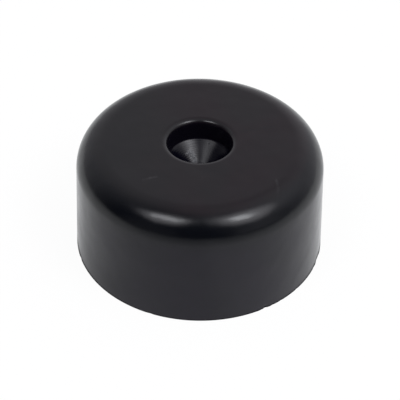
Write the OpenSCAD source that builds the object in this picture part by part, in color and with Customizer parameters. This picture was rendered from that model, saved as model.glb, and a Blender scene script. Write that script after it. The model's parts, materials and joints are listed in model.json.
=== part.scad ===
// Screw-on rubber foot, moulded in one piece: a short puck with a slightly drafted wall, a broad
// rounded shoulder, and a stepped hole for a countersunk screw.
// It stands on its flat base, the face that goes against the furniture. Millimetres, +Z up,
// with the origin at the middle of the base.

/* [Body] */
// Diameter at the base, where the foot is widest
base_d = 50; // [40:0.5:70]
// Height from the base to the tread face
height = 25; // [20:0.5:40]
// Draft of the side wall, in degrees from upright
draft = 1; // [0.2:0.1:3]
// Radius of the shoulder between the side wall and the tread face
shoulder_r = 6; // [2:0.25:8]
// Radius that breaks the sharp edge of the base
base_edge_r = 0.15; // [0.1:0.05:1]

/* [Screw hole] */
// Diameter of the recess that takes the screw head
recess_d = 12.8; // [9:0.1:14]
// Depth of the recess, from the tread face down to the countersink
recess_depth = 4.6; // [2.5:0.1:6]
// Width of the lip, the band round the recess's mouth that dips towards the hole
lip_w = 1; // [0.9:0.1:2]
// How far the lip has dipped where it reaches the recess's wall
lip_drop = 0.4; // [0.1:0.05:0.5]
// Radius of the edge between the lip and the recess's wall
mouth_r = 0.9; // [0.1:0.05:0.9]
// Included angle of the countersink that seats the screw head, in degrees
countersink_angle = 90; // [80:1:120]
// Diameter of the bore for the screw's shank
bore_d = 5.3; // [3:0.1:6.5]

/* [Hidden] */
$fn = 180;

base_r = base_d / 2;
recess_r = recess_d / 2;
bore_r = bore_d / 2;

// Heights of the hole's steps above the base
recess_floor_z = height - recess_depth;
countersink_h = (recess_r - bore_r) / tan(countersink_angle / 2);
bore_top_z = recess_floor_z - countersink_h;

// How far the hole's cutting shape runs past the faces and the axis
overrun = 1;
// How far the lines of the wall and the lip lie inside their rounded edges, to meet each at one clean edge
line_inset = 0.0002;

// Radius of the drafted wall at height z
function wall_r(z) = base_r - z * tan(draft);

// Centre, at height z, of a circle of radius r that touches the drafted wall from inside
function inside_wall(r, z) = [wall_r(z) - r / cos(draft), z];

// Point where the drafted wall meets a circle of radius r round the centre c
function wall_meet(c, r) = c + (r - line_inset) * [cos(draft), sin(draft)];

// Centres of the rounded edges in the half section
base_edge_c = inside_wall(base_edge_r, base_edge_r);
shoulder_c = inside_wall(shoulder_r, height - shoulder_r);

// The lip's slope in degrees, and its rounded edge, which touches the slope and the recess's wall
lip_slope = atan(lip_drop / lip_w);
lip_foot_z = height - lip_drop;
mouth_c = [recess_r + mouth_r, lip_foot_z + mouth_r * (tan(lip_slope) - 1 / cos(lip_slope))];
lip_start = mouth_c + (mouth_r - line_inset) * [-sin(lip_slope), cos(lip_slope)];

// Round edge of the half section, begun on its inner side so that its arc is one stretch
module edge_round(c, r) {
    translate(c) rotate(180) circle(r);
}

// Half section of the foot without its hole
module puck_section() {
    polygon([
        [0, 0],
        [base_edge_c.x, 0],
        wall_meet(base_edge_c, base_edge_r),
        wall_meet(shoulder_c, shoulder_r),
        [shoulder_c.x, height],
        [0, height]
    ]);
    edge_round(base_edge_c, base_edge_r);
    edge_round(shoulder_c, shoulder_r);
}

// Half section of the hole, cut straight across the rounded edge of its mouth
module hole_section() {
    polygon([
        [-overrun, -overrun],
        [bore_r, -overrun],
        [bore_r, bore_top_z],
        [recess_r, recess_floor_z],
        [recess_r, mouth_c.y],
        lip_start,
        [recess_r + lip_w, height],
        [recess_r + lip_w, height + overrun],
        [-overrun, height + overrun]
    ]);
}

module foot() {
    color([0.03, 0.03, 0.033])
    rotate_extrude() {
        difference() {
            puck_section();
            hole_section();
        }
        translate(mouth_c) circle(mouth_r);
    }
}

foot();
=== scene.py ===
import json
from functools import partial
from math import cos, pi, radians, sin, tan
from types import SimpleNamespace

import bpy
import numpy as np
from bpy.props import FloatProperty, FloatVectorProperty, IntProperty, PointerProperty
from mathutils import Matrix, Vector


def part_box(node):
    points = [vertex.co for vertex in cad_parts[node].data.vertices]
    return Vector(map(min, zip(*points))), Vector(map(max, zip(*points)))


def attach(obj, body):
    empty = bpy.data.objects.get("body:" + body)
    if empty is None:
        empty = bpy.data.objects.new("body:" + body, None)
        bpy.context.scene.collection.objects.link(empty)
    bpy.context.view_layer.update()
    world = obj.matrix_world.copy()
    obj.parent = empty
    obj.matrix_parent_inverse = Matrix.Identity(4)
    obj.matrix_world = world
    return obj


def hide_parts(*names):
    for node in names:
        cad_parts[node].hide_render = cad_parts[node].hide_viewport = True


bl_info = {
    "name": "Rubber Foot",
    "version": (1, 0, 0),
    "blender": (4, 5, 0),
    "location": "View3D > Sidebar > Rubber Foot",
    "description": "Makes a moulded rubber foot with its finish, and the small studio that it stands in",
    "category": "Object",
}

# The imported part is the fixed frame: metres, +Z up, origin at the middle of the base
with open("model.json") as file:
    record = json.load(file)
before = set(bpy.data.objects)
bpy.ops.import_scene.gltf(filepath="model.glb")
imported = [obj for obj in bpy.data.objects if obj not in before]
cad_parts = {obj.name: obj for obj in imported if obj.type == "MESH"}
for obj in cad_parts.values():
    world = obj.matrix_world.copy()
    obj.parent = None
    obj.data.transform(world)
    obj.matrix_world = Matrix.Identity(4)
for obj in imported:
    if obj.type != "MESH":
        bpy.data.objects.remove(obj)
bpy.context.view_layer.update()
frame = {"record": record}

BODY = "root"
NODE = "foot"
MM = 0.001

# Light scuffs on the tread face and the shoulder: strength, then start, end and half width in millimetres
SCUFFS = (
    (0.7, ((-10.9, -11.9, 25.0), (-9.6, -11.4, 25.0), 0.45)),
    (0.9, ((-9.7, -11.3, 25.0), (-8.3, -10.9, 25.0), 0.5)),
    (0.7, ((14.75, -11.3, 25.0), (15.0, -12.5, 25.0), 0.5)),
    (0.7, ((15.0, -12.5, 25.0), (15.15, -13.7, 24.8), 0.45)),
    (0.6, ((15.15, -13.7, 24.8), (14.9, -15.2, 24.1), 0.45)),
    (0.5, ((-2.4, 13.7, 25.0), (-2.3, 13.7, 25.0), 0.3)),
)
# A darker streak on the tread face, where the bloom is thinner, and marks on the countersink: rough patches,
# whose light colour is partly painted highlight, a smooth stretch beside them and a small pit
DARKER_STREAK = ((8.0, 3.5, 25.0), (18.8, 6.5, 25.0), 0.9)
ROUGH_PATCHES = (
    ((-2.0, 4.7, 18.7), (-1.2, 3.6, 17.4), 0.8),
    ((-3.0, 4.1, 18.5), (-2.0, 4.6, 18.5), 0.35),
)
SMOOTH_STRETCH = ((-3.1, 4.0, 18.5), (-2.4, 3.0, 17.2), 0.9)
PIT = ((1.7, 5.9, 19.8), (1.75, 5.9, 19.8), 0.18)

# Bearings from +Y about the hole's axis, in degrees, that bound the dull arc of the countersink: where it
# begins on the left, where it goes from its left half to its right one, and where it ends on the right
DULL_BEGINS = (-50, -36)
DULL_TURNS = (-6, 6)
DULL_ENDS = (22, 34)

# Soft clouds in the finish: size in millimetres, seed and detail
BLOOM_CLOUDS = (9.0, 1.0, 2.0)
WARM_CLOUDS = (14.0, 2.0, 1.0)
RIM_WORN_AND_HIGHLIGHT_CLOUDS = (2.5, 8.0, 2.0)
GLOSS_CLOUDS = (5.0, 3.0, 4.0)
WAVE_CLOUDS = (5.0, 5.0, 1.0)
GRAIN_CLOUDS = (0.18, 6.0, 1.0)
RING_CLOUDS = (1.5, 4.0, 2.0)
# Part of the noise's range that the clouds spread over the whole range from 0 to 1
NOISE_SPREAD = (0.3, 0.7)
# Seed and detail of the clouds that break up the marks
MARK_SEED = 7.0
MARK_DETAIL = 2.0
# How far the clouds shift the turning rings, in radians
RING_WANDER = 4.0

# How each kind of mark is broken up: size of its patches in millimetres, and its least strength between them
SCUFF_BREAKS = (0.9, 0.3)
DARKER_STREAK_BREAKS = (6.0, 0.0)
ROUGH_BREAKS = (0.3, 0.0)
SMOOTH_BREAKS = (0.5, 0.6)
PIT_BREAKS = (5.0, 1.0)

# Shares between which the soft clouds vary the bloom, its warmth and the rim's lighter colour, which is
# partly a worn edge and partly painted highlight
BLOOM_SHARES = (0.75, 1.1)
WARM_SHARES = (0.4, 1.0)
RIM_WORN_AND_HIGHLIGHT_SHARES = (0.6, 1.0)
# Shares of the tread's bloom at the front and at the back, where it is made lighter towards the back as
# painted sheen, and beside the darker streak and in it
BACK_SHEEN_SHARES = (0.85, 1.3)
DARKER_STREAK_SHARES = (1.0, 0.6)
# Places between which the tread's bloom gets lighter as painted sheen, from front to back, and warm, from
# left to right
BACK_SHEEN_SPAN = (-18 * MM, 18 * MM)
LEFT_TO_WARM = (-16 * MM, 2 * MM)

# Zones of the surface, each as the two values between which its mask goes from 0 to 1.
# Shares of the recess's radius, for the hole
HOLE_ZONE = np.array((1.2, 1.05))
# Distances from the recess's wall in shares of the mouth's radius, for the rim from outside and from inside
RIM_OUTSIDE = np.array((1.0, 0.6))
RIM_INSIDE = np.array((0.05, 0.3))
# Heights above the recess's floor, for the countersink and the bore
TURNED_ZONE = np.array((0.0, -0.2)) * MM
# Heights above the tread face, for the rim and for the tread face itself
RIM_ZONE = np.array((-1.3, -1.0)) * MM
TREAD_ZONE = np.array((-1.2, -0.1)) * MM
# Heights above the foot of the shoulder, for the side wall
WALL_ZONE = np.array((2.0, -2.0)) * MM

# Low swells of the countersink's wall: bearings in degrees between which the wall comes in with the bearing,
# and by how much in millimetres. Further round they fade out, and so they do near the recess and the bore.
SWELLS = (
    (-18, 0, -0.04),
    (4, 38, 0.14),
)
SWELLS_FADE = (38, 80)
SWELL_TO_RECESS = 1.2 * MM
SWELL_TO_BORE = 1.0 * MM

# Radius within which the off-centre hole draws its surroundings along, in radii of the lip
HOLE_PULL = 2

# Nicks in the edge of the base: angle from +X in degrees, then half width, height and depth in millimetres
NICKS = (
    (-57.6, 0.45, 0.45, 0.24),
    (-59.6, 0.3, 0.3, 0.08),
    (-15.5, 0.9, 0.7, 0.16),
    (-12.5, 0.6, 0.5, 0.1),
    (-21.0, 0.5, 0.3, 0.06),
    (-38.0, 0.3, 0.35, 0.07),
    (-48.5, 0.25, 0.3, 0.06),
    (-53.5, 0.25, 0.3, 0.06),
    (-112.0, 0.5, 0.3, 0.07),
    (-163.0, 0.5, 0.4, 0.08),
)

# Ends of the floor from left to right and from front to back, in metres, and its colour
FLOOR_ACROSS = (-0.6, 0.6)
FLOOR_DEPTH = (-0.4, 0.9)
FLOOR_PALE = 0.9
# Stretches of the floor as shares of the foot's radius: where it gets brighter to the right, to the back and
# to the left of the back, and where its shade begins to the left
RIGHT_STRETCH = np.array((0.0, 0.5))
BACK_STRETCH = np.array((-0.4, 0.2))
BACK_LEFT_STRETCH = np.array((-0.3, -0.8))
SHADE_STRETCH = np.array((-0.4, -0.9))
# How far the shade beside the foot and the shade under the foot's edge reach
SHADE_REACH = 10.0 * MM
EDGE_SHADE_REACH = 0.5 * MM

# Width of the camera's sensor in millimetres, and the nearest and farthest that it sees, in metres
SENSOR_WIDTH = 36.0
CAMERA_CLIP = (0.01, 20.0)

# Soft glows of the studio: azimuth, elevation, inner and outer angle in degrees, and brightness.
# The first five are the pale room behind and to the right, the next two surround the softboxes, and the
# last two are faint light low in front.
GLOWS = (
    (0, 15, 40, 105, 0.60),
    (40, 5, 5, 50, 0.19),
    (110, 20, 5, 55, 0.29),
    (105, 58, 5, 50, 0.37),
    (80, 55, 5, 30, 0.07),
    (-138, 53, 2, 23, 2.95),
    (127, 52, 2, 28, 3.0),
    (-138, 4, 4, 32, 0.13),
    (130, 2, 4, 28, 0.2),
)

# Softboxes: name, azimuth and elevation in degrees, distance, width and height in metres, and brightness
SOFTBOXES = (
    ("left_softbox", -142.7, 57.1, 0.7, 0.208, 0.155, 6.4),
    ("right_softbox", 130.5, 54.4, 0.7, 0.162, 0.181, 9.2),
)

FOOT_LOW, FOOT_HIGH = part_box(NODE)
MOUNTS = {mount["name"]: mount for mount in frame["record"]["mounts"]}


def hole_radius(name):
    """Radius of a stated bore, in metres."""
    return MOUNTS[name]["dims"]["r_mm"] * MM


def hole_ends(name):
    """Heights of a stated bore's lower and upper end: its middle, less and plus half its length."""
    middle = MOUNTS[name]["pos_m"][2]
    half = MOUNTS[name]["dims"]["length_mm"] * MM / 2
    return middle - half, middle + half


# Sizes and colours that a user would change

LengthProperty = partial(FloatProperty, unit="LENGTH", precision=6)
ShareProperty = partial(FloatProperty, subtype="FACTOR", min=0.0, max=1.0)
ColourProperty = partial(FloatVectorProperty, size=3, subtype="COLOR", min=0.0, max=1.0)
TintProperty = partial(FloatVectorProperty, size=3, subtype="COLOR", min=0.0, max=2.0)


class FootSizes(bpy.types.PropertyGroup):
    """Sizes of the moulded foot"""

    base_diameter: LengthProperty(
        name="Base diameter", description="Width of the foot at its base",
        default=FOOT_HIGH[0] - FOOT_LOW[0])
    height: LengthProperty(
        name="Height", description="Height from the base to the tread face",
        default=FOOT_HIGH[2] - FOOT_LOW[2])
    draft: FloatProperty(
        name="Draft", description="Lean of the side wall from upright",
        default=radians(1.0), subtype="ANGLE")
    shoulder_radius: LengthProperty(
        name="Shoulder radius", description="Radius between the side wall and the tread face",
        default=6.0 * MM)
    base_edge_radius: LengthProperty(
        name="Base edge radius", description="Radius that breaks the edge of the base",
        default=0.15 * MM)
    recess_radius: LengthProperty(
        name="Recess radius", description="Radius of the recess for the screw head",
        default=hole_radius("head_recess"))
    recess_floor: LengthProperty(
        name="Recess floor", description="Height at which the recess meets the countersink",
        default=hole_ends("head_recess")[0])
    mouth_radius: LengthProperty(
        name="Mouth radius", description="Radius of the edge between the lip and the recess",
        default=0.9 * MM)
    lip_width: LengthProperty(
        name="Lip width", description="Width of the band round the mouth that dips towards the hole",
        default=1.0 * MM)
    lip_drop: LengthProperty(
        name="Lip drop", description="How far the lip has sunk at the hole's edge",
        default=0.4 * MM)
    lip_radius: LengthProperty(
        name="Lip radius", description="Radius with which the tread face runs into the lip",
        default=2.0 * MM)
    hole_offset: FloatVectorProperty(
        name="Hole offset", description="How far the moulded hole has come out off the middle",
        default=(-0.13 * MM, 0.49 * MM), size=2, unit="LENGTH", precision=5)
    bore_radius: LengthProperty(
        name="Bore radius", description="Radius of the bore for the screw",
        default=hole_radius("screw_bore"))
    bore_top: LengthProperty(
        name="Bore top", description="Height at which the countersink meets the bore",
        default=hole_ends("screw_bore")[1])
    crease_radius: LengthProperty(
        name="Crease radius", description="Radius of the edges between the steps of the hole",
        default=0.4 * MM)
    countersink_offset: LengthProperty(
        name="Countersink offset", description="How far the countersink has come out right of the recess",
        default=0.15 * MM)
    turn_steps: IntProperty(
        name="Steps round", description="Number of mesh steps round the foot",
        default=720, min=24)


class RubberFinish(bpy.types.PropertyGroup):
    """Finish of the rubber"""

    colour: ColourProperty(
        name="Colour", description="Colour of the rubber itself, without its gloss",
        default=(0.0018, 0.0023, 0.0039))
    wall_bloom: ColourProperty(
        name="Wall bloom", description="Colour of the thin haze on the side wall",
        default=(0.0034, 0.0022, 0.0073))
    tread_bloom: ColourProperty(
        name="Tread bloom", description="Colour of the thin haze on the tread face",
        default=(0.0052, 0.0050, 0.0060))
    tread_bloom_warm: ColourProperty(
        name="Warm tread bloom", description="Colour of the haze where the tread face is warmer",
        default=(0.0062, 0.0030, 0.0050))
    recess_bloom: ColourProperty(
        name="Recess bloom", description="Colour of the thin haze in the recess",
        default=(0.0033, 0.0027, 0.0056))
    turned_colour: ColourProperty(
        name="Turned colour", description="Colour of the countersink and the bore",
        default=(0.0005, 0.0005, 0.0035))
    # The rim's lighter colour is partly a worn edge and partly painted highlight for the bright line round
    # the mouth
    rim_worn_and_highlight_colour: ColourProperty(
        name="Rim wear", description="Colour of the worn edge round the recess's mouth",
        default=(0.0105, 0.0105, 0.012))
    # The rough patches' light colour is partly their rough skin and partly painted highlight on the
    # reflection streak they lie in
    patch_and_highlight_colour: ColourProperty(
        name="Rough patches", description="Colour of the rough patches on the countersink",
        default=(0.10, 0.105, 0.113))
    scuff_colour: ColourProperty(
        name="Scuffs", description="Colour of the rubbed marks",
        default=(0.018, 0.017, 0.019))
    roughness: ShareProperty(
        name="Roughness", description="Roughness of the moulded skin",
        default=0.18)
    roughness_range: ShareProperty(
        name="Roughness range", description="How far the roughness strays from place to place",
        default=0.03)
    turned_roughness: ShareProperty(
        name="Turned roughness", description="Roughness of the countersink and the bore",
        default=0.2)
    dull_roughness: ShareProperty(
        name="Dull roughness", description="Roughness of the countersink's dull arc on the left",
        default=0.28)
    dull_roughness_right: ShareProperty(
        name="Dull roughness right", description="Roughness of the countersink's dull arc on the right",
        default=0.37)
    smooth_roughness: ShareProperty(
        name="Smooth roughness", description="Roughness of the countersink's smooth stretch",
        default=0.1)
    ior: FloatProperty(
        name="Index of refraction", description="Sets how much the skin reflects",
        default=1.36, min=1.0, max=2.0)
    grain_height: LengthProperty(
        name="Grain height", description="Height of the skin's fine grain",
        default=0.002 * MM)
    wave_height: LengthProperty(
        name="Wave height", description="Height of the skin's broad unevenness",
        default=0.03 * MM)
    ring_height: LengthProperty(
        name="Ring height", description="Height of the turning rings on the countersink",
        default=0.003 * MM)
    ring_pitch: LengthProperty(
        name="Ring pitch", description="Distance between the turning rings",
        default=0.3 * MM)
    patch_height: LengthProperty(
        name="Patch height", description="Height of the rough patches on the countersink",
        default=0.035 * MM)
    pit_depth: LengthProperty(
        name="Pit depth", description="Depth of the small pit on the countersink",
        default=0.12 * MM)


class StudioSetup(bpy.types.PropertyGroup):
    """Camera, lights and floor"""

    camera_elevation: FloatProperty(
        name="Camera elevation", description="Height of the camera above the horizon",
        default=radians(40.33), subtype="ANGLE")
    camera_roll: FloatProperty(
        name="Camera roll", description="Lean of the upright in the picture, to the right",
        default=radians(0.933), subtype="ANGLE")
    camera_distance: LengthProperty(
        name="Camera distance", description="Distance from the camera to the middle of the foot",
        default=0.405)
    lens: FloatProperty(
        name="Lens", description="Focal length in millimetres, on a sensor 36 mm wide",
        default=180.7, unit="CAMERA")
    aim_below: LengthProperty(
        name="Aim below", description="How far the picture's centre lies below the middle of the foot",
        default=1.985 * MM)
    aim_right: LengthProperty(
        name="Aim right", description="How far the picture's centre lies right of the middle of the foot",
        default=0.07 * MM)
    floor_white: ShareProperty(
        name="Floor white", description="Share of plain white in the floor that the camera sees",
        default=0.95)
    floor_mirrored: FloatProperty(
        name="Floor mirrored", description="Brightness of the floor in reflections",
        default=0.92, min=0.0)
    floor_right: FloatProperty(
        name="Floor right", description="How much brighter the floor is in reflections on the right",
        default=0.13, min=0.0)
    floor_left: FloatProperty(
        name="Floor left", description="How much brighter the floor is in reflections behind the left side",
        default=0.06, min=0.0)
    floor_shade: ShareProperty(
        name="Floor shade", description="Share of its light that the floor loses close to the foot's left",
        default=0.2)
    floor_tint: TintProperty(
        name="Floor tint", description="Faint tint of the floor in reflections",
        default=(0.99, 1.0, 1.02))
    floor_front: LengthProperty(
        name="Floor front", description="Distance in front of the foot from which the floor gets darker",
        default=0.045)
    floor_side: LengthProperty(
        name="Floor side", description="Distance beside the foot from which the floor gets darker",
        default=0.1)
    floor_fade: FloatProperty(
        name="Floor fade", description="How fast the floor gets darker: the power of the distance",
        default=0.6, min=0.0)
    room: FloatProperty(
        name="Room", description="Brightness of the dim room round the set",
        default=0.045, min=0.0)
    room_colour: TintProperty(
        name="Room colour", description="Faint tint of the light from the room's walls",
        default=(1.0, 0.985, 1.04))
    lamp_colour: TintProperty(
        name="Lamp colour", description="Faint tint of the softboxes",
        default=(0.98, 1.0, 1.04))


# Shape of the foot


def unit(vectors):
    """Each row of an array of vectors, divided by its length."""
    return vectors / np.linalg.norm(vectors, axis=-1, keepdims=True)


def rounded_outline(corners, radii, arc_steps, side_steps, side_grades):
    """Closed outline of a polygon with rounded corners, as an array of points.

    Each corner gives way to the arc of its radius that touches both of its sides. Where h is half the
    angle at the corner, the arc meets each side r / tan(h) from the corner, and its centre lies
    r / sin(h) from it along the bisector. The sides between the arcs go in steps at the shares t to the
    power of the side's grade, which are equal for a grade of 1 and finer at the start for a higher one.
    """
    corners = np.asarray(corners, dtype=float)
    radii = np.asarray(radii, dtype=float)
    back = unit(np.roll(corners, 1, axis=0) - corners)
    ahead = unit(np.roll(corners, -1, axis=0) - corners)
    half = np.arccos((back * ahead).sum(axis=1)) / 2
    reach = (radii / np.tan(half))[:, None]
    first = corners + back * reach
    last = corners + ahead * reach
    centres = corners + unit(back + ahead) * (radii / np.sin(half))[:, None]
    turn = np.sign(back[:, 1] * ahead[:, 0] - back[:, 0] * ahead[:, 1])
    start_angle = np.arctan2(*(first - centres).T[::-1])
    points = []
    for k in range(len(corners)):
        angle = start_angle[k] + turn[k] * (pi - 2 * half[k]) * np.linspace(0, 1, arc_steps[k] + 1)
        arc = centres[k] + radii[k] * np.column_stack([np.cos(angle), np.sin(angle)])
        share = np.linspace(0, 1, side_steps[k] + 1)[1:-1, None] ** side_grades[k]
        side = last[k] + (first[(k + 1) % len(corners)] - last[k]) * share
        points += [arc, side]
    return np.concatenate(points)


def foot_outline(sizes):
    """Half section of the foot, from the bore's lower end outwards, up the wall and back down the hole.

    It is the polygon of its faces' meeting points, with rounded corners. Each corner has a number of mesh
    steps for its arc, one for the side after it, and that side's grade.
    """
    base = sizes.base_diameter / 2
    top = base - sizes.height * tan(sizes.draft)
    corners = [
        (sizes.bore_radius, 0.0),
        (base, 0.0),
        (top, sizes.height),
        (sizes.recess_radius + sizes.lip_width, sizes.height),
        (sizes.recess_radius, sizes.height - sizes.lip_drop),
        (sizes.recess_radius, sizes.recess_floor),
        (sizes.bore_radius, sizes.bore_top),
    ]
    crease = sizes.crease_radius
    radii = [
        crease, sizes.base_edge_radius, sizes.shoulder_radius, sizes.lip_radius,
        sizes.mouth_radius, crease, crease,
    ]
    arc_steps = [4, 6, 36, 8, 12, 6, 4]
    side_steps = [6, 16, 12, 2, 6, 14, 6]
    side_grades = [1, 2, 1, 1, 1, 1, 1]
    return rounded_outline(corners, radii, arc_steps, side_steps, side_grades)


def turned(outline, steps):
    """Grid of points made by turning an outline about +Z: x = r cos t, y = r sin t, z = height."""
    angle = np.arange(steps) * (2 * pi / steps)
    radius = outline[:, :1]
    height = np.broadcast_to(outline[:, 1:], (len(outline), steps))
    return np.stack([radius * np.cos(angle), radius * np.sin(angle), height], axis=-1)


def smooth_step(low, high, value):
    """From 0 at low to 1 at high: 3 t squared less 2 t cubed, where t is the share of the way."""
    t = np.clip((value - low) / (high - low), 0, 1)
    return t * t * (3 - 2 * t)


def swollen_countersink(grid, sizes):
    """The grid with low swells on its countersink.

    Each swell draws the wall in by its amount, times a smooth step from 0 to 1 as the bearing from +Y
    about the axis goes from its first to its second value. The sum fades out where the swells end.
    """
    radius = np.hypot(grid[..., 0], grid[..., 1])
    bearing = np.degrees(np.arctan2(grid[..., 0], grid[..., 1]))
    height = grid[..., 2]
    inset = np.zeros_like(radius)
    for begins, ends, amount in SWELLS:
        inset += amount * MM * smooth_step(begins, ends, bearing)
    inset *= 1 - smooth_step(*SWELLS_FADE, bearing)
    inset *= 1 - smooth_step(sizes.recess_floor - SWELL_TO_RECESS, sizes.recess_floor, height)
    inset *= smooth_step(sizes.bore_top, sizes.bore_top + SWELL_TO_BORE, height)
    inset *= radius < sizes.recess_radius + sizes.lip_width
    swollen = grid.copy()
    swollen[..., :2] *= (1 - inset / radius)[..., None]
    return swollen


def off_centre_hole(grid, sizes):
    """The grid with its hole moved sideways.

    The move is whole in the hole and round it, and fades out over the tread face and the base. Below the
    recess, the countersink and the bore move a little further.
    """
    radius = np.hypot(grid[..., 0], grid[..., 1])
    height = grid[..., 2]
    inner = sizes.recess_radius + sizes.lip_width
    share = 1 - smooth_step(inner, HOLE_PULL * inner, radius)
    crease = sizes.crease_radius
    below = 1 - smooth_step(sizes.recess_floor - crease, sizes.recess_floor + crease, height)
    moved = grid.copy()
    moved[..., :2] += share[..., None] * np.array(sizes.hole_offset)
    moved[..., 0] += share * below * sizes.countersink_offset
    return moved


def bell(value):
    """Smooth bump of height 1 at 0: e to the power of minus the value squared."""
    return np.exp(-value * value)


def nicked_base(grid, nicks, base):
    """The grid with small nicks in the edge of its base, of the given radius.

    Each nick draws the edge in by its depth, times a bell along the edge, one up the wall and one inwards
    over the base.
    """
    radius = np.hypot(grid[..., 0], grid[..., 1])
    angle = np.arctan2(grid[..., 1], grid[..., 0])
    inset = np.zeros_like(radius)
    for middle, half_width, height, depth in nicks:
        along = base * ((angle - radians(middle) + pi) % (2 * pi) - pi)
        edge = bell(along / (half_width * MM)) * bell(grid[..., 2] / (height * MM))
        inset += depth * MM * edge * bell((base - radius) / (half_width * MM))
    nicked = grid.copy()
    nicked[..., :2] *= (1 - inset / radius)[..., None]
    return nicked


def closed_grid_quads(rows, columns):
    """Quads of a grid that closes on itself both ways, each wound so that it faces outwards."""
    row = np.arange(rows)[:, None]
    column = np.arange(columns)[None, :]
    row_next = (row + 1) % rows
    column_next = (column + 1) % columns
    quads = np.stack([
        row * columns + column,
        row * columns + column_next,
        row_next * columns + column_next,
        row_next * columns + column,
    ], axis=-1)
    return quads.reshape(-1, 4)


def mesh_from_grid(name, grid):
    """Smooth-shaded mesh of a grid of points that closes on itself both ways."""
    mesh = bpy.data.meshes.new(name)
    mesh.from_pydata(grid.reshape(-1, 3), [], closed_grid_quads(*grid.shape[:2]), shade_flat=False)
    mesh.validate()
    return mesh


# Finish of the rubber


def add_node(tree, kind, location, **values):
    """Adds a node, sets its own values by name, and returns it."""
    node = tree.nodes.new(kind)
    node.location = location
    for name, value in values.items():
        setattr(node, name, value)
    return node


def feed(tree, socket, value):
    """Links an input to another socket, or sets it to a plain value."""
    if isinstance(value, bpy.types.NodeSocket):
        tree.links.new(value, socket)
    else:
        socket.default_value = value


def math_node(tree, operation, location, *inputs):
    """Math node whose inputs are sockets or plain numbers. Returns its output."""
    node = add_node(tree, "ShaderNodeMath", location, operation=operation)
    for socket, value in zip(node.inputs, inputs):
        feed(tree, socket, value)
    return node.outputs[0]


def smooth_range(tree, location, value, low, high, to_low=0.0, to_high=1.0):
    """Socket that goes smoothly from one number to another as a value goes from low to high."""
    node = add_node(tree, "ShaderNodeMapRange", location, interpolation_type="SMOOTHSTEP")
    for name, number in (("From Min", low), ("From Max", high), ("To Min", to_low), ("To Max", to_high)):
        node.inputs[name].default_value = number
    tree.links.new(value, node.inputs["Value"])
    return node.outputs["Result"]


def clamped(tree, location, value):
    """Socket of a value held between 0 and 1."""
    node = add_node(tree, "ShaderNodeClamp", location)
    tree.links.new(value, node.inputs["Value"])
    return node.outputs["Result"]


def mix_number(tree, location, share, first, second):
    """Socket of a number that goes from the first to the second as a share goes from 0 to 1."""
    node = add_node(tree, "ShaderNodeMix", location, data_type="FLOAT")
    tree.links.new(share, node.inputs[0])
    feed(tree, node.inputs[2], first)
    feed(tree, node.inputs[3], second)
    return node.outputs[0]


def mix_colour(tree, location, share, first, second):
    """Socket of a colour that goes from the first to the second as a share goes from 0 to 1."""
    node = add_node(tree, "ShaderNodeMix", location, data_type="RGBA")
    tree.links.new(share, node.inputs[0])
    for socket, colour in ((node.inputs[6], first), (node.inputs[7], second)):
        feed(tree, socket, colour if isinstance(colour, bpy.types.NodeSocket) else (*colour, 1.0))
    return node.outputs[2]


def new_group(name, inputs):
    """Node group with named inputs and one output, Mask. Returns it with its first and last node."""
    group = bpy.data.node_groups.new(name, "ShaderNodeTree")
    for socket_name, kind in inputs.items():
        group.interface.new_socket(socket_name, in_out="INPUT", socket_type=kind)
    group.interface.new_socket("Mask", in_out="OUTPUT", socket_type="NodeSocketFloat")
    first = add_node(group, "NodeGroupInput", (-1000, 0))
    last = add_node(group, "NodeGroupOutput", (1000, 0))
    return group, first, last


def place_group(tree, group, location, **inputs):
    """Puts a node group in a tree, with each input a socket or a plain value. Returns its mask."""
    node = add_node(tree, "ShaderNodeGroup", location, node_tree=group)
    for name, value in inputs.items():
        feed(tree, node.inputs[name], value)
    return node.outputs["Mask"]


def cloud_group():
    """Soft clouds of a given size: noise that is spread over the whole range from 0 to 1."""
    group, first, last = new_group("rubber_clouds", {
        "Vector": "NodeSocketVector", "Size": "NodeSocketFloat", "Seed": "NodeSocketFloat",
        "Detail": "NodeSocketFloat"})
    noise = add_node(group, "ShaderNodeTexNoise", (0, 0), noise_dimensions="4D")
    scale = math_node(group, "DIVIDE", (-400, -100), 1.0, first.outputs["Size"])
    group.links.new(first.outputs["Vector"], noise.inputs["Vector"])
    group.links.new(first.outputs["Seed"], noise.inputs["W"])
    group.links.new(first.outputs["Detail"], noise.inputs["Detail"])
    group.links.new(scale, noise.inputs["Scale"])
    spread = smooth_range(group, (400, 0), noise.outputs[0], *NOISE_SPREAD)
    group.links.new(spread, last.inputs["Mask"])
    return group


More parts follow.
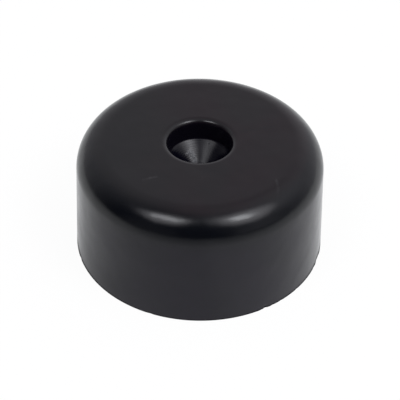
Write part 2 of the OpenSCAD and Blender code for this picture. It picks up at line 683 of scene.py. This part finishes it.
def mark_group(clouds):
    """Mark along a straight line: 1 on the line from start to end, and 0 at half its width away.

    The nearest point of the line is start + t (end - start), where t is the share of the way to which
    the point's own offset projects, held between 0 and 1. Soft clouds break the mark into patches, and
    between them it keeps its least strength.
    """
    group, first, last = new_group("rubber_mark", {
        "Vector": "NodeSocketVector", "Start": "NodeSocketVector", "End": "NodeSocketVector",
        "Half Width": "NodeSocketFloat", "Patch Size": "NodeSocketFloat", "Least": "NodeSocketFloat"})

    def vector(operation, location, one, two):
        """Vector math node with two linked inputs. Returns its output."""
        node = add_node(group, "ShaderNodeVectorMath", location, operation=operation)
        group.links.new(one, node.inputs[0])
        group.links.new(two, node.inputs[1])
        return node.outputs["Value"] if operation in ("DOT_PRODUCT", "DISTANCE") else node.outputs["Vector"]

    along = vector("SUBTRACT", (-800, 200), first.outputs["End"], first.outputs["Start"])
    offset = vector("SUBTRACT", (-800, 0), first.outputs["Vector"], first.outputs["Start"])
    share = math_node(
        group, "DIVIDE", (-400, 100), vector("DOT_PRODUCT", (-600, 0), offset, along),
        vector("DOT_PRODUCT", (-600, 200), along, along))
    share = clamped(group, (-300, 100), share)
    step = add_node(group, "ShaderNodeVectorMath", (-200, 200), operation="SCALE")
    group.links.new(along, step.inputs[0])
    group.links.new(share, step.inputs["Scale"])
    away = vector("DISTANCE", (0, 0), offset, step.outputs["Vector"])
    away = math_node(group, "DIVIDE", (200, 0), away, first.outputs["Half Width"])
    line = smooth_range(group, (400, 0), away, 1.0, 0.0)
    patches = place_group(
        group, clouds, (400, -300), Vector=first.outputs["Vector"], Size=first.outputs["Patch Size"],
        Seed=MARK_SEED, Detail=MARK_DETAIL)
    patches = math_node(group, "MAXIMUM", (600, -300), patches, first.outputs["Least"])
    group.links.new(math_node(group, "MULTIPLY", (800, 0), line, patches), last.inputs["Mask"])
    return group


def place_cloud(tree, group, place, location, size, seed, detail):
    """Soft clouds of a size in millimetres. Returns their mask."""
    return place_group(tree, group, location, Vector=place, Size=size * MM, Seed=seed, Detail=detail)


def place_mark(tree, group, place, location, line, patch, least):
    """Mark along a line in millimetres, in patches of a size in millimetres. Returns its mask."""
    start, end, half_width = line
    return place_group(
        tree, group, location, Vector=place, Start=Vector(start) * MM, End=Vector(end) * MM, Least=least,
        **{"Half Width": half_width * MM, "Patch Size": patch * MM})


def foot_zones(tree, place, sizes):
    """Masks of the foot's surfaces, by height and by distance from the hole's axis, and some coordinates.

    hole is the recess and what is below it, turned is the countersink and the bore, rim is the edge of the
    recess's mouth, tread is the flat face and wall is the side wall. across is x, depth is y, height is z,
    and bearing is the angle from +Y about the hole's axis, whose tangent is x / y.
    """
    split = add_node(tree, "ShaderNodeSeparateXYZ", (-2200, 0))
    tree.links.new(place, split.inputs[0])
    across, depth, height = split.outputs
    right, back = sizes.hole_offset
    from_axis_x = math_node(tree, "SUBTRACT", (-2000, -200), across, right)
    from_axis_y = math_node(tree, "SUBTRACT", (-2000, -400), depth, back)
    bearing = math_node(tree, "ARCTAN2", (-1800, 500), from_axis_x, from_axis_y)
    square = math_node(tree, "MULTIPLY", (-1900, -200), from_axis_x, from_axis_x)
    square = math_node(tree, "MULTIPLY_ADD", (-1900, -400), from_axis_y, from_axis_y, square)
    radius = math_node(tree, "SQRT", (-1800, -100), square)
    recess, mouth, top = sizes.recess_radius, sizes.mouth_radius, sizes.height
    hole = smooth_range(tree, (-1800, -300), radius, *(recess * HOLE_ZONE))
    low = smooth_range(tree, (-1800, -500), height, *(sizes.recess_floor + TURNED_ZONE))
    outer_edge = smooth_range(tree, (-1800, -700), radius, *(recess + mouth * RIM_OUTSIDE))
    inner_edge = smooth_range(tree, (-1800, -900), radius, *(recess + mouth * RIM_INSIDE))
    rim = math_node(tree, "MULTIPLY", (-1600, -700), outer_edge, inner_edge)
    high = smooth_range(tree, (-1800, -1100), height, *(top + RIM_ZONE))
    wall = smooth_range(tree, (-1800, 100), height, *(top - sizes.shoulder_radius + WALL_ZONE))
    outside = math_node(tree, "SUBTRACT", (-1600, 100), 1.0, hole)
    return SimpleNamespace(
        across=across, depth=depth, height=height, bearing=bearing, hole=hole,
        turned=math_node(tree, "MULTIPLY", (-1600, -400), hole, low),
        rim=math_node(tree, "MULTIPLY", (-1400, -700), rim, high),
        tread=smooth_range(tree, (-1800, 300), height, *(top + TREAD_ZONE)),
        wall=math_node(tree, "MULTIPLY", (-1400, 100), wall, outside))


def rubber_colour(tree, finish, zones, cloud, mark, patch):
    """Black rubber under a thin bloom in soft clouds, with a lighter rim that is partly worn and partly
    painted highlight, lighter rough patches that are partly painted highlight, and scuffs.

    On the tread face the bloom is made lighter towards the back, a painted sheen for the brighter light that
    the tread reflects there, thinner along a darker streak, and warmer away from the left.
    """
    haze = smooth_range(tree, (-1400, 600), cloud((-1600, 600), *BLOOM_CLOUDS), 0.0, 1.0, *BLOOM_SHARES)
    wall_haze = math_node(tree, "MULTIPLY", (-1200, 300), zones.wall, haze)
    # Darker streak on the tread face, where the bloom is made thinner
    darker_streak = mark((-1600, 900), DARKER_STREAK, *DARKER_STREAK_BREAKS)
    darker_streak = smooth_range(tree, (-1400, 900), darker_streak, 0.0, 1.0, *DARKER_STREAK_SHARES)
    # Painted sheen: the tread's bloom is made lighter towards the back, for the brighter light that the
    # tread reflects there
    painted_back_sheen = smooth_range(tree, (-1400, 800), zones.depth, *BACK_SHEEN_SPAN, *BACK_SHEEN_SHARES)
    tread_haze_and_sheen = math_node(tree, "MULTIPLY", (-1200, 600), zones.tread, haze)
    tread_haze_and_sheen = math_node(tree, "MULTIPLY", (-1000, 600), tread_haze_and_sheen, darker_streak)
    tread_haze_and_sheen = math_node(tree, "MULTIPLY", (-900, 600), tread_haze_and_sheen, painted_back_sheen)
    patchy = smooth_range(tree, (-1300, 1400), cloud((-1500, 1400), *WARM_CLOUDS), 0.0, 1.0, *WARM_SHARES)
    warmth = smooth_range(tree, (-1400, 1200), zones.across, *LEFT_TO_WARM)
    warmth = math_node(tree, "MULTIPLY", (-1200, 1200), warmth, patchy)
    bloom = mix_colour(tree, (-1000, 900), warmth, finish.tread_bloom, finish.tread_bloom_warm)
    # The rim is made lighter, partly as a worn edge and partly as painted highlight along the mouth
    worn_rim_highlight = smooth_range(tree, (-800, 700), cloud((-1000, 1100), *RIM_WORN_AND_HIGHLIGHT_CLOUDS), 0.0, 1.0, *RIM_WORN_AND_HIGHLIGHT_SHARES)
    worn_rim_highlight = math_node(tree, "MULTIPLY", (-600, 700), zones.rim, worn_rim_highlight)
    colour = mix_colour(tree, (-1100, 200), zones.hole, finish.colour, finish.recess_bloom)
    colour = mix_colour(tree, (-1000, 200), zones.turned, colour, finish.turned_colour)
    colour = mix_colour(tree, (-800, 400), wall_haze, colour, finish.wall_bloom)
    colour = mix_colour(tree, (-600, 400), tread_haze_and_sheen, colour, bloom)
    colour = mix_colour(tree, (-500, 500), worn_rim_highlight, colour, finish.rim_worn_and_highlight_colour)
    # The rough patches are made lighter, partly as rough skin and partly as painted highlight on the streak
    # they lie in
    colour = mix_colour(tree, (-400, 500), patch, colour, finish.patch_and_highlight_colour)
    for row, (strength, line) in enumerate(SCUFFS):
        scuff = mark((-1000, 1400 + 200 * row), line, *SCUFF_BREAKS)
        scuff = math_node(tree, "MULTIPLY", (-800, 1400 + 200 * row), scuff, strength)
        colour = mix_colour(tree, (-400, 700 + 200 * row), scuff, colour, finish.scuff_colour)
    return colour


def rubber_roughness(tree, finish, zones, cloud, mark):
    """Satin skin with a slightly uneven gloss, and on the countersink a dull arc with a smooth stretch."""
    low = finish.roughness - finish.roughness_range / 2
    high = finish.roughness + finish.roughness_range / 2
    skin = smooth_range(tree, (-800, 0), cloud((-1000, 0), *GLOSS_CLOUDS), 0.0, 1.0, low, high)
    begun = smooth_range(tree, (-1200, -200), zones.bearing, *np.radians(DULL_BEGINS))
    ended = smooth_range(tree, (-1200, -400), zones.bearing, *np.radians(DULL_ENDS), 1.0, 0.0)
    dull = math_node(tree, "MULTIPLY", (-1000, -300), begun, ended)
    dull_skin = smooth_range(
        tree, (-1200, -600), zones.bearing, *np.radians(DULL_TURNS), finish.dull_roughness,
        finish.dull_roughness_right)
    turned_skin = mix_number(tree, (-900, -200), dull, finish.turned_roughness, dull_skin)
    smooth = mark((-1000, -500), SMOOTH_STRETCH, *SMOOTH_BREAKS)
    turned_skin = mix_number(tree, (-800, -200), smooth, turned_skin, finish.smooth_roughness)
    return mix_number(tree, (-600, 0), zones.turned, skin, turned_skin)


def rubber_relief(tree, finish, zones, cloud, mark, patch):
    """Normal of the relief: broad waves, fine grain, turning rings, the rough patches and the pit.

    A ring's height is the sine of the height up the hole, at the rings' pitch, shifted by soft clouds.
    """
    ripple = math_node(tree, "MULTIPLY", (-1200, -1400), zones.height, 2 * pi / finish.ring_pitch)
    wander = cloud((-1200, -1600), *RING_CLOUDS)
    ripple = math_node(tree, "MULTIPLY_ADD", (-1000, -1400), wander, RING_WANDER, ripple)
    ripple = math_node(tree, "SINE", (-800, -1400), ripple)
    ripple = math_node(tree, "MULTIPLY", (-600, -1400), ripple, zones.turned)
    pit = mark((-800, -2000), PIT, *PIT_BREAKS)
    relief = (
        (cloud((-600, -600), *WAVE_CLOUDS), finish.wave_height),
        (cloud((-600, -900), *GRAIN_CLOUDS), finish.grain_height),
        (ripple, finish.ring_height),
        (patch, finish.patch_height),
        (math_node(tree, "MULTIPLY", (-600, -2000), pit, -1.0), finish.pit_depth),
    )
    normal = None
    for step, (level, distance) in enumerate(relief):
        bump = add_node(tree, "ShaderNodeBump", (-400 + 120 * step, -500 - 150 * step))
        bump.inputs["Strength"].default_value = 1.0
        bump.inputs["Distance"].default_value = distance
        tree.links.new(level, bump.inputs["Height"])
        if normal:
            tree.links.new(normal, bump.inputs["Normal"])
        normal = bump.outputs["Normal"]
    return normal


def rubber_material(finish, sizes):
    """Black moulded rubber with a satin skin, its bloom, scuffs and a worn rim, painted sheen and
    highlights, and a turned countersink.
    """
    material = bpy.data.materials.new("black_rubber")
    material.use_nodes = True
    tree = material.node_tree
    skin = tree.nodes["Principled BSDF"]
    skin.location = (400, 0)
    tree.nodes["Material Output"].location = (800, 0)
    place = add_node(tree, "ShaderNodeTexCoord", (-2400, 0)).outputs["Object"]
    clouds = cloud_group()
    cloud = partial(place_cloud, tree, clouds, place)
    mark = partial(place_mark, tree, mark_group(clouds), place)
    zones = foot_zones(tree, place, sizes)
    patches = [
        mark((-1400, -900 - 200 * row), line, *ROUGH_BREAKS) for row, line in enumerate(ROUGH_PATCHES)]
    patch = math_node(tree, "MAXIMUM", (-1200, -900), *patches)
    patch = math_node(tree, "MULTIPLY", (-1000, -900), patch, zones.turned)
    tree.links.new(rubber_colour(tree, finish, zones, cloud, mark, patch), skin.inputs["Base Color"])
    tree.links.new(rubber_roughness(tree, finish, zones, cloud, mark), skin.inputs["Roughness"])
    tree.links.new(rubber_relief(tree, finish, zones, cloud, mark, patch), skin.inputs["Normal"])
    skin.inputs["IOR"].default_value = finish.ior
    return material


# Studio


def from_angles(azimuth, elevation, distance):
    """Point at a distance from the origin. Azimuth 0 is +Y, behind the foot, and a quarter turn is +X."""
    level = cos(elevation) * distance
    return Vector((sin(azimuth) * level, cos(azimuth) * level, sin(elevation) * distance))


def add_softbox(name, azimuth, elevation, distance, width, height, radiance, colour):
    """Rectangular light that faces the foot, with the same brightness all over.

    Its power is pi times its brightness, its width and its height.
    """
    light = bpy.data.lights.new(name, "AREA")
    light.shape = "RECTANGLE"
    light.size = width
    light.size_y = height
    light.energy = pi * radiance * width * height
    light.color = colour
    lamp = bpy.data.objects.new(name, light)
    lamp.location = from_angles(radians(azimuth), radians(elevation), distance)
    lamp.rotation_euler = (-lamp.location).to_track_quat("-Z", "Y").to_euler()
    lamp.visible_camera = False
    bpy.context.collection.objects.link(lamp)
    return lamp


def floor_fade(tree, across, depth, studio):
    """Socket of the share of light that is left on the floor in front of the foot and beside it.

    It is the product of start / distance for both, to the power of the fade. The distance in front is -y,
    and beside the foot it is |x|, less y where that is above 0. Up to the starts the floor keeps all its
    light.
    """
    front = math_node(tree, "MULTIPLY", (-600, 0), depth, -1.0)
    front = math_node(tree, "MAXIMUM", (-400, 0), front, studio.floor_front)
    front = math_node(tree, "DIVIDE", (-200, 0), studio.floor_front, front)
    behind = math_node(tree, "MAXIMUM", (-700, 100), depth, 0.0)
    beside = math_node(tree, "ABSOLUTE", (-700, 200), across)
    beside = math_node(tree, "SUBTRACT", (-600, 200), beside, behind)
    beside = math_node(tree, "MAXIMUM", (-400, 200), beside, studio.floor_side)
    beside = math_node(tree, "DIVIDE", (-200, 200), studio.floor_side, beside)
    fade = math_node(tree, "MULTIPLY", (-100, 0), front, beside)
    return math_node(tree, "POWER", (-50, 0), fade, studio.floor_fade)


def floor_glow(tree, place, across, depth, studio, base):
    """Socket of the floor's brightness in reflections, before its light falls off.

    It is brighter on the right and behind the left side, has a soft shade close to the foot's left, and is
    dark under the edge of the foot's base, of the given radius.
    """
    least, most = studio.floor_mirrored, studio.floor_mirrored + studio.floor_right
    side = smooth_range(tree, (-400, -300), across, *(base * RIGHT_STRETCH), least, most)
    back = smooth_range(tree, (-500, -350), depth, *(base * BACK_STRETCH))
    back_left = smooth_range(
        tree, (-500, -400), across, *(base * BACK_LEFT_STRETCH), 0.0, studio.floor_left)
    side = math_node(tree, "MULTIPLY_ADD", (-300, -300), back, back_left, side)
    away = add_node(tree, "ShaderNodeVectorMath", (-800, -600), operation="LENGTH")
    tree.links.new(place, away.inputs[0])
    away = away.outputs["Value"]
    left = smooth_range(tree, (-600, -500), across, *(base * SHADE_STRETCH), 0.0, studio.floor_shade)
    near = smooth_range(tree, (-600, -700), away, base + SHADE_REACH, base)
    shade = math_node(tree, "MULTIPLY", (-400, -600), left, near)
    shade = math_node(tree, "SUBTRACT", (-200, -600), 1.0, shade)
    edge = smooth_range(tree, (-600, -900), away, base, base + EDGE_SHADE_REACH)
    shade = math_node(tree, "MULTIPLY", (-100, -600), shade, edge)
    return math_node(tree, "MULTIPLY", (-100, -300), side, shade)


def floor_material(studio, base):
    """Pale floor that takes the shadow, mixed with plain white where the camera sees it.

    In reflections it glows by itself, with the light that is left on it at each place.
    """
    material = bpy.data.materials.new("pale_floor")
    material.use_nodes = True
    tree = material.node_tree
    tree.nodes.clear()
    output = add_node(tree, "ShaderNodeOutputMaterial", (1000, 0))
    mix = add_node(tree, "ShaderNodeMixShader", (800, 0))
    matt = add_node(tree, "ShaderNodeBsdfDiffuse", (600, -60))
    white = add_node(tree, "ShaderNodeEmission", (600, -200))
    path = add_node(tree, "ShaderNodeLightPath", (-400, 400))
    camera = path.outputs["Is Camera Ray"]
    place = add_node(tree, "ShaderNodeTexCoord", (-1000, 0)).outputs["Object"]
    split = add_node(tree, "ShaderNodeSeparateXYZ", (-800, 0))
    tree.links.new(place, split.inputs[0])
    across, depth = split.outputs["X"], split.outputs["Y"]
    fade = floor_fade(tree, across, depth, studio)
    pale = math_node(tree, "MULTIPLY", (400, -60), fade, FLOOR_PALE)
    glow = floor_glow(tree, place, across, depth, studio, base)
    glow = math_node(tree, "MULTIPLY", (0, -200), glow, fade)
    unseen = math_node(tree, "SUBTRACT", (0, 0), 1.0, camera)
    glow = math_node(tree, "MULTIPLY_ADD", (200, -200), glow, unseen, camera)
    mirrored = math_node(
        tree, "MAXIMUM", (0, 300), path.outputs["Is Glossy Ray"], path.outputs["Is Transmission Ray"])
    seen = math_node(tree, "MULTIPLY", (0, 500), camera, studio.floor_white)
    tree.links.new(math_node(tree, "MAXIMUM", (200, 300), seen, mirrored), mix.inputs[0])
    tree.links.new(pale, matt.inputs["Color"])
    tree.links.new(glow, white.inputs["Strength"])
    tint = mix_colour(tree, (400, -300), camera, studio.floor_tint, (1, 1, 1))
    tree.links.new(tint, white.inputs["Color"])
    tree.links.new(matt.outputs[0], mix.inputs[1])
    tree.links.new(white.outputs[0], mix.inputs[2])
    tree.links.new(mix.outputs[0], output.inputs["Surface"])
    return material


def add_floor(studio, base):
    """Flat floor under the foot, wide enough to fill the picture."""
    left, right = FLOOR_ACROSS
    front, back = FLOOR_DEPTH
    corners = [(left, front, 0), (right, front, 0), (right, back, 0), (left, back, 0)]
    mesh = bpy.data.meshes.new("floor")
    mesh.from_pydata(corners, [], [(0, 1, 2, 3)])
    mesh.materials.append(floor_material(studio, base))
    floor = bpy.data.objects.new("floor", mesh)
    bpy.context.collection.objects.link(floor)
    return floor


def set_world(studio):
    """Dim room with soft glows in it, and plain white behind everything that the camera sees.

    A glow is brightest within an inner angle of its middle and fades smoothly to nothing at an outer one.
    """
    world = bpy.data.worlds.new("studio")
    world.use_nodes = True
    tree = world.node_tree
    tree.nodes.clear()
    output = add_node(tree, "ShaderNodeOutputWorld", (1000, 0))
    mix = add_node(tree, "ShaderNodeMixShader", (800, 0))
    room = add_node(tree, "ShaderNodeBackground", (600, -60))
    white = add_node(tree, "ShaderNodeBackground", (600, -200))
    path = add_node(tree, "ShaderNodeLightPath", (600, 300))
    direction = add_node(tree, "ShaderNodeTexCoord", (-400, 0)).outputs["Generated"]
    light = studio.room
    for row, (azimuth, elevation, inner, outer, strength) in enumerate(GLOWS):
        height = -200 * row
        along = add_node(tree, "ShaderNodeVectorMath", (-200, height), operation="DOT_PRODUCT")
        along.inputs[1].default_value = from_angles(radians(azimuth), radians(elevation), 1.0)
        tree.links.new(direction, along.inputs[0])
        limits = cos(radians(outer)), cos(radians(inner))
        glow = smooth_range(tree, (0, height), along.outputs["Value"], *limits, 0.0, strength)
        light = math_node(tree, "ADD", (200 + 20 * row, height), glow, light)
    tree.links.new(light, room.inputs["Strength"])
    room.inputs["Color"].default_value = (*studio.room_colour, 1)
    white.inputs["Color"].default_value = (1, 1, 1, 1)
    white.inputs["Strength"].default_value = 1.0
    tree.links.new(path.outputs["Is Camera Ray"], mix.inputs[0])
    tree.links.new(room.outputs[0], mix.inputs[1])
    tree.links.new(white.outputs[0], mix.inputs[2])
    tree.links.new(mix.outputs[0], output.inputs["Surface"])
    bpy.context.scene.world = world


def add_camera(studio, middle):
    """Camera in front of the foot, at its elevation, distance and roll.

    With the elevation e, it looks along (0, cos e, -sin e) from a point that lies its distance back
    from the middle of the foot. The roll turns its right and up vectors about that line.
    """
    e = studio.camera_elevation
    roll = studio.camera_roll
    ahead = Vector((0, cos(e), -sin(e)))
    level_right = Vector((1, 0, 0))
    level_up = Vector((0, sin(e), cos(e)))
    right = level_right * cos(roll) + level_up * sin(roll)
    up = level_up * cos(roll) - level_right * sin(roll)
    place = middle - ahead * studio.camera_distance
    aim = middle + right * studio.aim_right - up * studio.aim_below
    back = (place - aim).normalized()
    right = up.cross(back).normalized()
    up = back.cross(right)
    data = bpy.data.cameras.new("camera")
    data.sensor_width = SENSOR_WIDTH
    data.lens = studio.lens
    data.clip_start, data.clip_end = CAMERA_CLIP
    camera = bpy.data.objects.new("camera", data)
    camera.matrix_world = Matrix.Translation(place) @ Matrix((right, up, back)).transposed().to_4x4()
    bpy.context.collection.objects.link(camera)
    bpy.context.scene.camera = camera


# Operators, panel and registration


class RUBBER_FOOT_OT_foot(bpy.types.Operator):
    """Make the moulded foot with its finish, in place of the plain solid"""

    bl_idname = "rubber_foot.foot"
    bl_label = "Make foot"

    def execute(self, context):
        sizes = context.scene.rubber_foot_sizes
        grid = turned(foot_outline(sizes), sizes.turn_steps)
        grid = swollen_countersink(grid, sizes)
        grid = off_centre_hole(grid, sizes)
        grid = nicked_base(grid, NICKS, sizes.base_diameter / 2)
        mesh = mesh_from_grid("foot_body", grid)
        mesh.materials.append(rubber_material(context.scene.rubber_foot_finish, sizes))
        foot = bpy.data.objects.new("foot_body", mesh)
        context.collection.objects.link(foot)
        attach(foot, BODY)
        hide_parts(NODE)
        return {"FINISHED"}


class RUBBER_FOOT_OT_stage(bpy.types.Operator):
    """Make the floor, the lights, the room and the camera"""

    bl_idname = "rubber_foot.stage"
    bl_label = "Make stage"

    def execute(self, context):
        studio = context.scene.rubber_foot_studio
        sizes = context.scene.rubber_foot_sizes
        add_floor(studio, sizes.base_diameter / 2)
        set_world(studio)
        for softbox in SOFTBOXES:
            add_softbox(*softbox, studio.lamp_colour)
        add_camera(studio, Vector((0, 0, sizes.height / 2)))
        context.scene.view_settings.view_transform = "Standard"
        return {"FINISHED"}


class VIEW3D_PT_rubber_foot(bpy.types.Panel):
    """Rubber foot tools"""

    bl_label = "Rubber Foot"
    bl_idname = "VIEW3D_PT_rubber_foot"
    bl_space_type = "VIEW_3D"
    bl_region_type = "UI"
    bl_category = "Rubber Foot"

    def draw(self, context):
        for operator in OPERATORS:
            self.layout.operator(operator.bl_idname)
        for name in SETTINGS:
            box = self.layout.box()
            group = getattr(context.scene, name)
            for prop in group.bl_rna.properties:
                if prop.identifier not in ("rna_type", "name"):
                    box.prop(group, prop.identifier)


OPERATORS = (RUBBER_FOOT_OT_foot, RUBBER_FOOT_OT_stage)
SETTINGS = {
    "rubber_foot_sizes": FootSizes,
    "rubber_foot_finish": RubberFinish,
    "rubber_foot_studio": StudioSetup,
}
CLASSES = (*SETTINGS.values(), *OPERATORS, VIEW3D_PT_rubber_foot)


def register():
    """Registers the classes and gives every scene its settings."""
    for cls in CLASSES:
        bpy.utils.register_class(cls)
    for name, cls in SETTINGS.items():
        setattr(bpy.types.Scene, name, PointerProperty(type=cls))


def unregister():
    """Takes the settings and the classes away again."""
    for name in SETTINGS:
        delattr(bpy.types.Scene, name)
    for cls in reversed(CLASSES):
        bpy.utils.unregister_class(cls)


def main():
    """Makes the foot and its stage."""
    register()
    bpy.ops.rubber_foot.foot()
    bpy.ops.rubber_foot.stage()


if __name__ == "__main__":
    main()
